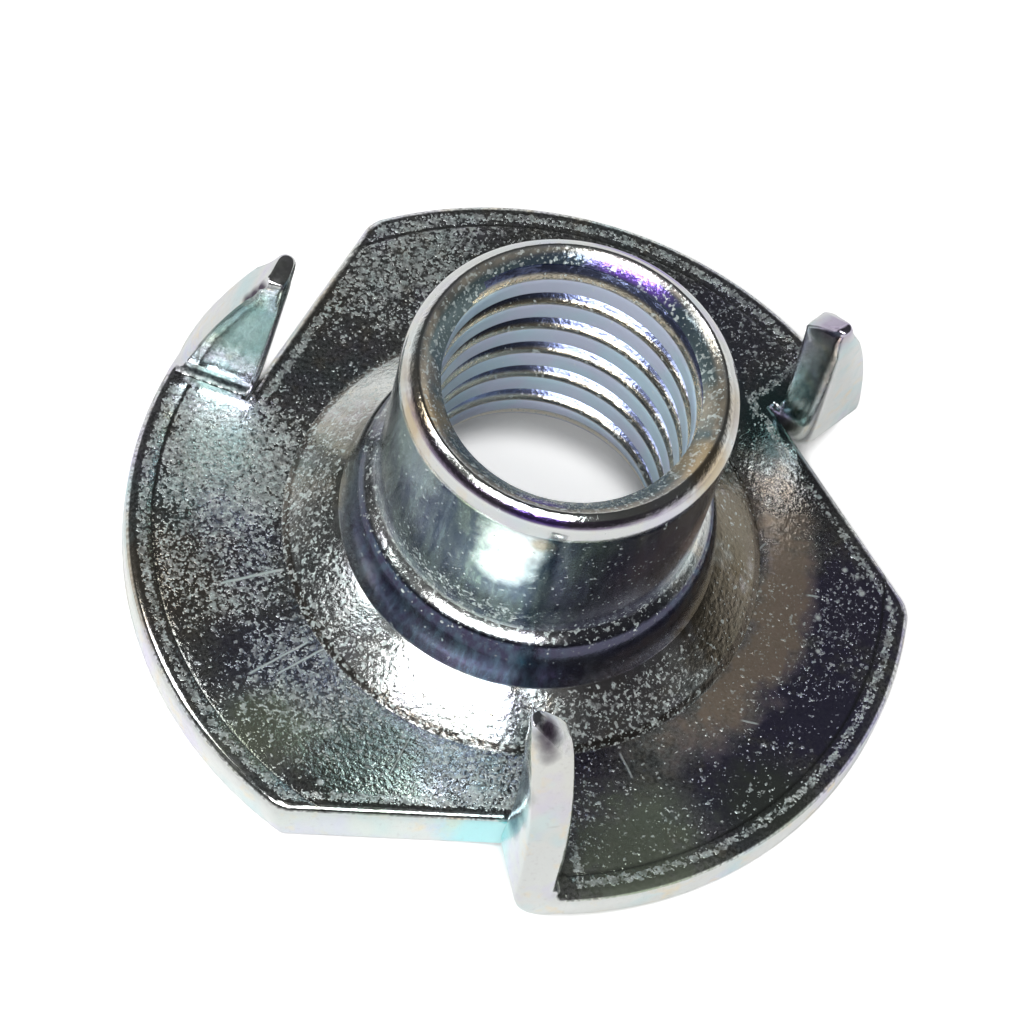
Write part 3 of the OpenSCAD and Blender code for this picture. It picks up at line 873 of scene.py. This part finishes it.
def drawn_zinc():
    """The barrel, its foot and the cone: stretched smooth, with upright draw marks and painted dark blue
    reflections.
    """
    zinc = Finish("drawn_zinc")
    tree = zinc.tree
    grain = use(tree, GRAIN_GROUP, zinc.place, 7.0)
    stretched = vectors(tree, "MULTIPLY", zinc.place, (1.0, 1.0, 0.22))
    draws = noise(tree, stretched, 4.5, 4.0, 0.6)
    on_cone = zinc.band(zinc.height, 1.0, 2.2, 0.06)
    at_ledge = zinc.band(zinc.height, 3.8, 4.6, 0.35)
    on_foot = zinc.band(zinc.height, 2.3, 3.93, 0.04)
    on_wall = spread(tree, zinc.height, 4.1, 4.3)
    at_crease = spread(tree, zinc.radius, 6.5, 6.72)
    pebbled = greatest(tree, product(tree, on_cone, 0.7), product(tree, at_ledge, 0.5), at_crease)
    pebbles = product(tree, grain, maths(tree, "ADD", pebbled, 0.1))
    height = maths(tree, "ADD", pebbles, product(tree, draws, 0.2))
    colour = use(tree, TINT_GROUP, zinc.place, 0.6)
    # painted reflections on the barrel wall: dark all round as it mirrors the dark flange, with a pale
    # window at the front where it mirrors the floor and a dark navy patch on the right
    shades = spread(tree, noise(tree, stretched, 3.2, 4.0, 0.65), 0.40, 0.60)
    wall = blend(tree, shades, rgb(0.22, 0.28, 0.28), rgb(0.09, 0.12, 0.17))
    wall = zinc.tints_and_painted_light(wall, (
        ((-3.4, -2.9, 8.7), 1.5, 0.8, 0.6, rgb(0.52, 0.64, 0.62)),
        ((3.6, -2.7, 6.6), 3.0, 0.6, 0.9, rgb(0.11, 0.10, 0.19)),
        ((4.4, -0.9, 6.4), 1.3, 0.5, 0.8, rgb(0.36, 0.17, 0.20)),
        ((-0.2, -4.49, 8.3), 1.15, 0.5, 1.0, rgb(0.95, 0.98, 0.98)),
        ((-0.3, -4.48, 7.1), 1.0, 0.5, 1.0, rgb(0.90, 0.98, 0.98)),
        ((0.5, -4.4, 8.7), 0.45, 0.6, 0.7, rgb(0.50, 0.38, 0.24)),
    ))
    colour = blend(tree, on_wall, colour, wall)
    # the foot is painted dark navy, a painted reflection in place of the bright floor it would mirror
    foot = blend(tree, spread(tree, draws, 0.42, 0.62), rgb(0.045, 0.04, 0.09), rgb(0.08, 0.12, 0.18))
    colour = blend(tree, product(tree, on_foot, 0.97), colour, foot)
    # these spots darken the ledge and most of the cone, painted shade over their reflections, with brown and
    # grey tints on the cone
    colour = zinc.tints_and_painted_light(colour, (
        ((3.2, -3.5, 4.1), 2.8, 0.5, 0.85, rgb(0.10, 0.10, 0.15)),
        ((-4.6, -0.6, 4.1), 2.4, 0.5, 0.7, rgb(0.16, 0.18, 0.22)),
        ((5.7, 2.2, 1.7), 2.6, 0.8, 0.92, rgb(0.18, 0.15, 0.10)),
        ((5.9, -0.8, 1.6), 2.6, 0.8, 0.92, rgb(0.18, 0.15, 0.10)),
        ((-4.6, -3.6, 1.7), 2.0, 0.9, 0.75, rgb(0.17, 0.18, 0.19)),
        ((-5.4, 0.4, 1.8), 2.6, 0.8, 0.75, rgb(0.34, 0.32, 0.26)),
        ((-5.6, -2.4, 1.7), 1.6, 0.9, 0.6, rgb(0.24, 0.26, 0.26)),
        ((4.0, -4.6, 1.7), 2.2, 0.9, 0.6, rgb(0.26, 0.23, 0.24)),
    ))
    # a painted shade line in the crease at the cone's outer border
    ring = zinc.band(zinc.radius, 6.50, 6.68, 0.03)
    colour = blend(tree, product(tree, ring, 0.85), colour, rgb(0.13, 0.11, 0.09))
    # painted sparkle, densest on the cone, the ledge, the crease and the low front of the barrel
    in_front = zinc.around(((-1.2, -4.3, 4.9), 3.4, 0.55))
    low_wall = product(tree, zinc.band(zinc.height, 4.3, 5.4, 0.5), in_front)
    share = greatest(tree, product(tree, on_cone, 0.5), product(tree, at_ledge, 0.42))
    share = greatest(tree, share, product(tree, at_crease, 0.6))
    share = greatest(tree, share, low_wall, product(tree, on_wall, 0.16))
    cleaner = zinc.around(((6.0, 1.6, 1.6), 3.0, 0.3), ((6.2, -1.2, 1.5), 2.6, 0.3))
    share = maths(tree, "SUBTRACT", share, cleaner)
    specks, colour = zinc.speckle(colour, share, 12.0)
    roughness = maths(tree, "ADD", spread(tree, draws, 0.3, 0.7, 0.10, 0.22), product(tree, specks, 0.12))
    return zinc.finish(colour, roughness, height, 0.014)


def rim_zinc():
    """The rim: a smooth cream rounding, a dark violet line under its crown painted as a reflection of the
    dark overhead, and a brownish inner shoulder.
    """
    zinc = Finish("rim_zinc")
    tree = zinc.tree
    grain = use(tree, GRAIN_GROUP, zinc.place, 8.0)
    inside = spread(tree, zinc.radius, 4.08, 4.0)
    colour = use(tree, TINT_GROUP, zinc.place, 0.5)
    patchy = spread(tree, noise(tree, zinc.place, 2.2, 3.0, 0.6), 0.38, 0.62)
    shoulder = blend(tree, patchy, rgb(0.50, 0.46, 0.38), rgb(0.26, 0.26, 0.24))
    shoulder = blend(tree, spread(tree, zinc.radius, 3.92, 3.80), shoulder, rgb(0.15, 0.21, 0.22))
    colour = blend(tree, inside, colour, shoulder)
    colour = zinc.tints_and_painted_light(colour, (
        ((-3.4, -2.4, 9.4), 1.0, 0.9, 0.7, rgb(0.62, 0.46, 0.24)),
        ((-3.9, -1.2, 9.4), 0.8, 0.9, 0.6, rgb(0.52, 0.44, 0.32)),
        ((3.9, -1.3, 9.4), 1.1, 0.9, 0.7, rgb(0.62, 0.46, 0.24)),
        ((4.0, 0.6, 9.4), 1.0, 0.9, 0.6, rgb(0.52, 0.44, 0.32)),
        ((0.8, 4.1, 9.5), 1.6, 0.5, 0.3, rgb(0.80, 0.66, 0.78)),
    ))
    near = zinc.around(((-0.3, -4.4, 9.6), 5.6, 1.0))
    far = zinc.around(((0.2, 3.9, 9.6), 3.8, 1.0))
    violet = zinc.around(((0.8, 3.8, 9.7), 1.5, 1.0), ((0.2, -4.3, 9.7), 1.0, 0.8))
    # on the near side a dark violet line under the crown, a painted reflection of the dark overhead
    line = product(tree, zinc.band(zinc.radius, 4.25, 4.42, 0.02), near)
    colour = blend(tree, product(tree, line, 0.85), colour, rgb(0.20, 0.14, 0.25))
    # on the far side the inner slope is painted dark, a painted reflection of the dark overhead
    hollow = product(tree, spread(tree, zinc.radius, 3.98, 3.88), far)
    colour = blend(tree, product(tree, hollow, 0.85), colour, rgb(0.06, 0.09, 0.14))
    cast = greatest(tree, zinc.band(zinc.radius, 3.64, 3.90, 0.03), zinc.band(zinc.radius, 4.26, 4.40, 0.02))
    colour = blend(tree, product(tree, cast, violet), colour, rgb(0.20, 0.11, 0.55))
    share = product(tree, inside, 0.40)
    specks, colour = zinc.speckle(colour, share, 12.0)
    metal = product(tree, spread(tree, inside, 0.0, 1.0, 1.0, 0.6), spread(tree, specks, 0.0, 1.0, 1.0, 0.4))
    tree.links.new(metal, zinc.shader.inputs["Metallic"])
    height = product(tree, grain, spread(tree, zinc.radius, 4.42, 4.28, 0.1, 0.6))
    return zinc.finish(colour, spread(tree, specks, 0.0, 1.0, 0.14, 0.28), height, 0.014)


def tapped_zinc():
    """The bore: pale blue crests, a painted reflection of the floor; thin speckled shoulders; and dark blue
    grooves, painted shade under the crests.
    """
    zinc = Finish("tapped_zinc")
    tree = zinc.tree
    grain = use(tree, GRAIN_GROUP, zinc.place, 8.0)
    crest = spread(tree, zinc.radius, CREST_R + 0.05, CREST_R + 0.03)
    groove = spread(tree, zinc.radius, CREST_R + 0.11, CREST_R + 0.18)
    cast = spread(tree, noise(tree, zinc.place, 0.5, 2.0, 0.5), 0.42, 0.58)
    # the crests' pale blue, with little metal, is a painted reflection of the floor
    pale = blend(tree, cast, rgb(0.66, 0.86, 0.98), rgb(0.74, 0.80, 0.98))
    colour = blend(tree, crest, rgb(0.74, 0.68, 0.54), pale)
    # the grooves are darkened and tinted blue: painted shade under the crests
    colour = blend(tree, groove, colour, rgb(0.17, 0.20, 0.34))
    off_crest = spread(tree, crest, 0.0, 1.0, 1.0, 0.0)
    shoulder = product(tree, off_crest, spread(tree, groove, 0.0, 1.0, 1.0, 0.2))
    share = product(tree, shoulder, 0.36)
    specks, colour = zinc.speckle(colour, share, 12.0)
    metal = product(tree, spread(tree, crest, 0.0, 1.0, 1.0, 0.2), spread(tree, specks, 0.0, 1.0, 1.0, 0.5))
    tree.links.new(metal, zinc.shader.inputs["Metallic"])
    height = product(tree, grain, spread(tree, crest, 0.0, 1.0, 0.7, 0.12))
    roughness = maths(tree, "ADD", spread(tree, specks, 0.0, 1.0, 0.16, 0.28), product(tree, groove, 0.04))
    return zinc.finish(colour, roughness, height, 0.014)


FINISHES = {
    "rolled": rolled_zinc,
    "sheared": sheared_zinc,
    "drawn": drawn_zinc,
    "rim": rim_zinc,
    "tapped": tapped_zinc,
}


def finish_of(centre, normal):
    """Which finish a face has, from where it is and the way it faces, in millimetres."""
    radius = math.hypot(centre.x, centre.y)
    mouth = MOUTH_Z + MOUTH_SLOPE * (radius - CREST_R)
    if radius < ROOT_R + 0.01 and ENTRY_Z - 1.3 < centre.z < mouth:
        return "tapped"
    if radius < BARREL_R + 0.1 and centre.z > RIM_Z:
        return "rim"
    if radius < CREASE_R + 0.02 and centre.z > 1.1:
        return "drawn"
    for order in range(PRONG_COUNT):
        out = Vector(along(order, 0))
        aside = Vector(along(order, 90))
        if centre.dot(out) > 7.5 and -3.2 < centre.dot(aside) < BEND_Y + 0.02:
            flat = abs(normal.dot(out)) < 0.5 and normal.dot(aside) > -0.5
            face = centre.z < 2.5 or normal.dot(aside) > 0.85
            return "rolled" if flat and face else "sheared"
    return "rolled" if abs(normal.z) > 0.5 else "sheared"


for make_finish in FINISHES.values():
    nut.data.materials.append(make_finish())
order_of_finishes = list(FINISHES)
for face in nut.data.polygons:
    face.material_index = order_of_finishes.index(finish_of(face.center * 1000, face.normal))

# ------------------------------------------------------------------ table, light and camera
put_down()
bpy.ops.mesh.primitive_plane_add(size=1.2)
table = bpy.context.object
table.name = "table"


def white_paper():
    """Paper that stays white to the eye, with a painted shadow that darkens it only close under the nut."""
    paper = bpy.data.materials.new("white_paper")
    paper.use_nodes = True
    tree = paper.node_tree
    tree.nodes.clear()
    path = tree.nodes.new("ShaderNodeLightPath")
    open_sky = put(tree, "ShaderNodeAmbientOcclusion", None, 0.002, out=1)
    seen = product(tree, path.outputs["Is Camera Ray"], spread(tree, open_sky, 0.32, 0.52))
    mirrored = product(tree, path.outputs["Is Glossy Ray"], 0.18)
    strength = product(tree, greatest(tree, seen, mirrored), 0.75)
    glow = put(tree, "ShaderNodeEmission", rgb(1, 1, 1), strength)
    matt = put(tree, "ShaderNodeBsdfDiffuse", rgb(0.9, 0.9, 0.9))
    output = tree.nodes.new("ShaderNodeOutputMaterial")
    tree.links.new(put(tree, "ShaderNodeAddShader", matt, glow), output.inputs["Surface"])
    return paper


def studio():
    """A sky that is white near the level and dark overhead, for the nut to mirror."""
    world = bpy.data.worlds.new("studio")
    world.use_nodes = True
    tree = world.node_tree
    way = put(tree, "ShaderNodeTexCoord", out="Generated")
    ramp = tree.nodes.new("ShaderNodeValToRGB")
    level, overhead = ramp.color_ramp.elements
    level.position, level.color = 0.05, rgb(1, 1, 1)
    overhead.position, overhead.color = 0.35, rgb(0.05, 0.05, 0.05)
    tree.links.new(put(tree, "ShaderNodeSeparateXYZ", way, out="Z"), ramp.inputs["Fac"])
    tree.links.new(ramp.outputs["Color"], tree.nodes["Background"].inputs["Color"])
    return world


def soft_box(name, azimuth, elevation, distance, width, height, strength):
    """A soft lamp that faces the nut; an azimuth of 0 is at the front."""
    put_down()
    around, up = math.radians(azimuth), math.radians(elevation)
    level = distance * math.cos(up)
    place = (level * math.sin(around), -level * math.cos(around), distance * math.sin(up))
    bpy.ops.object.light_add(type="AREA", location=place, rotation=(math.pi / 2 - up, 0, around))
    lamp = bpy.context.object
    lamp.name = name
    lamp.data.shape = "RECTANGLE"
    lamp.data.size = width
    lamp.data.size_y = height
    lamp.data.energy = strength


table.data.materials.append(white_paper())
bpy.context.scene.world = studio()
soft_box("front_light", -7, 52, 0.6, 0.44, 0.14, 2.5)
soft_box("left_light", -80, 48, 0.6, 0.2, 0.2, 0.8)

CAMERA_PLACE = (-0.49212e-3, -63.08184e-3, 108.44084e-3)
CAMERA_TURN = (29.57427, -8.76835, 15.03604)
bpy.ops.object.camera_add(location=CAMERA_PLACE, rotation=[math.radians(angle) for angle in CAMERA_TURN])
camera = bpy.context.object
camera.data.lens = 158.203
camera.data.sensor_width = 36.0
camera.data.clip_start = 0.01
bpy.context.scene.camera = camera
bpy.context.scene.view_settings.view_transform = "Standard"
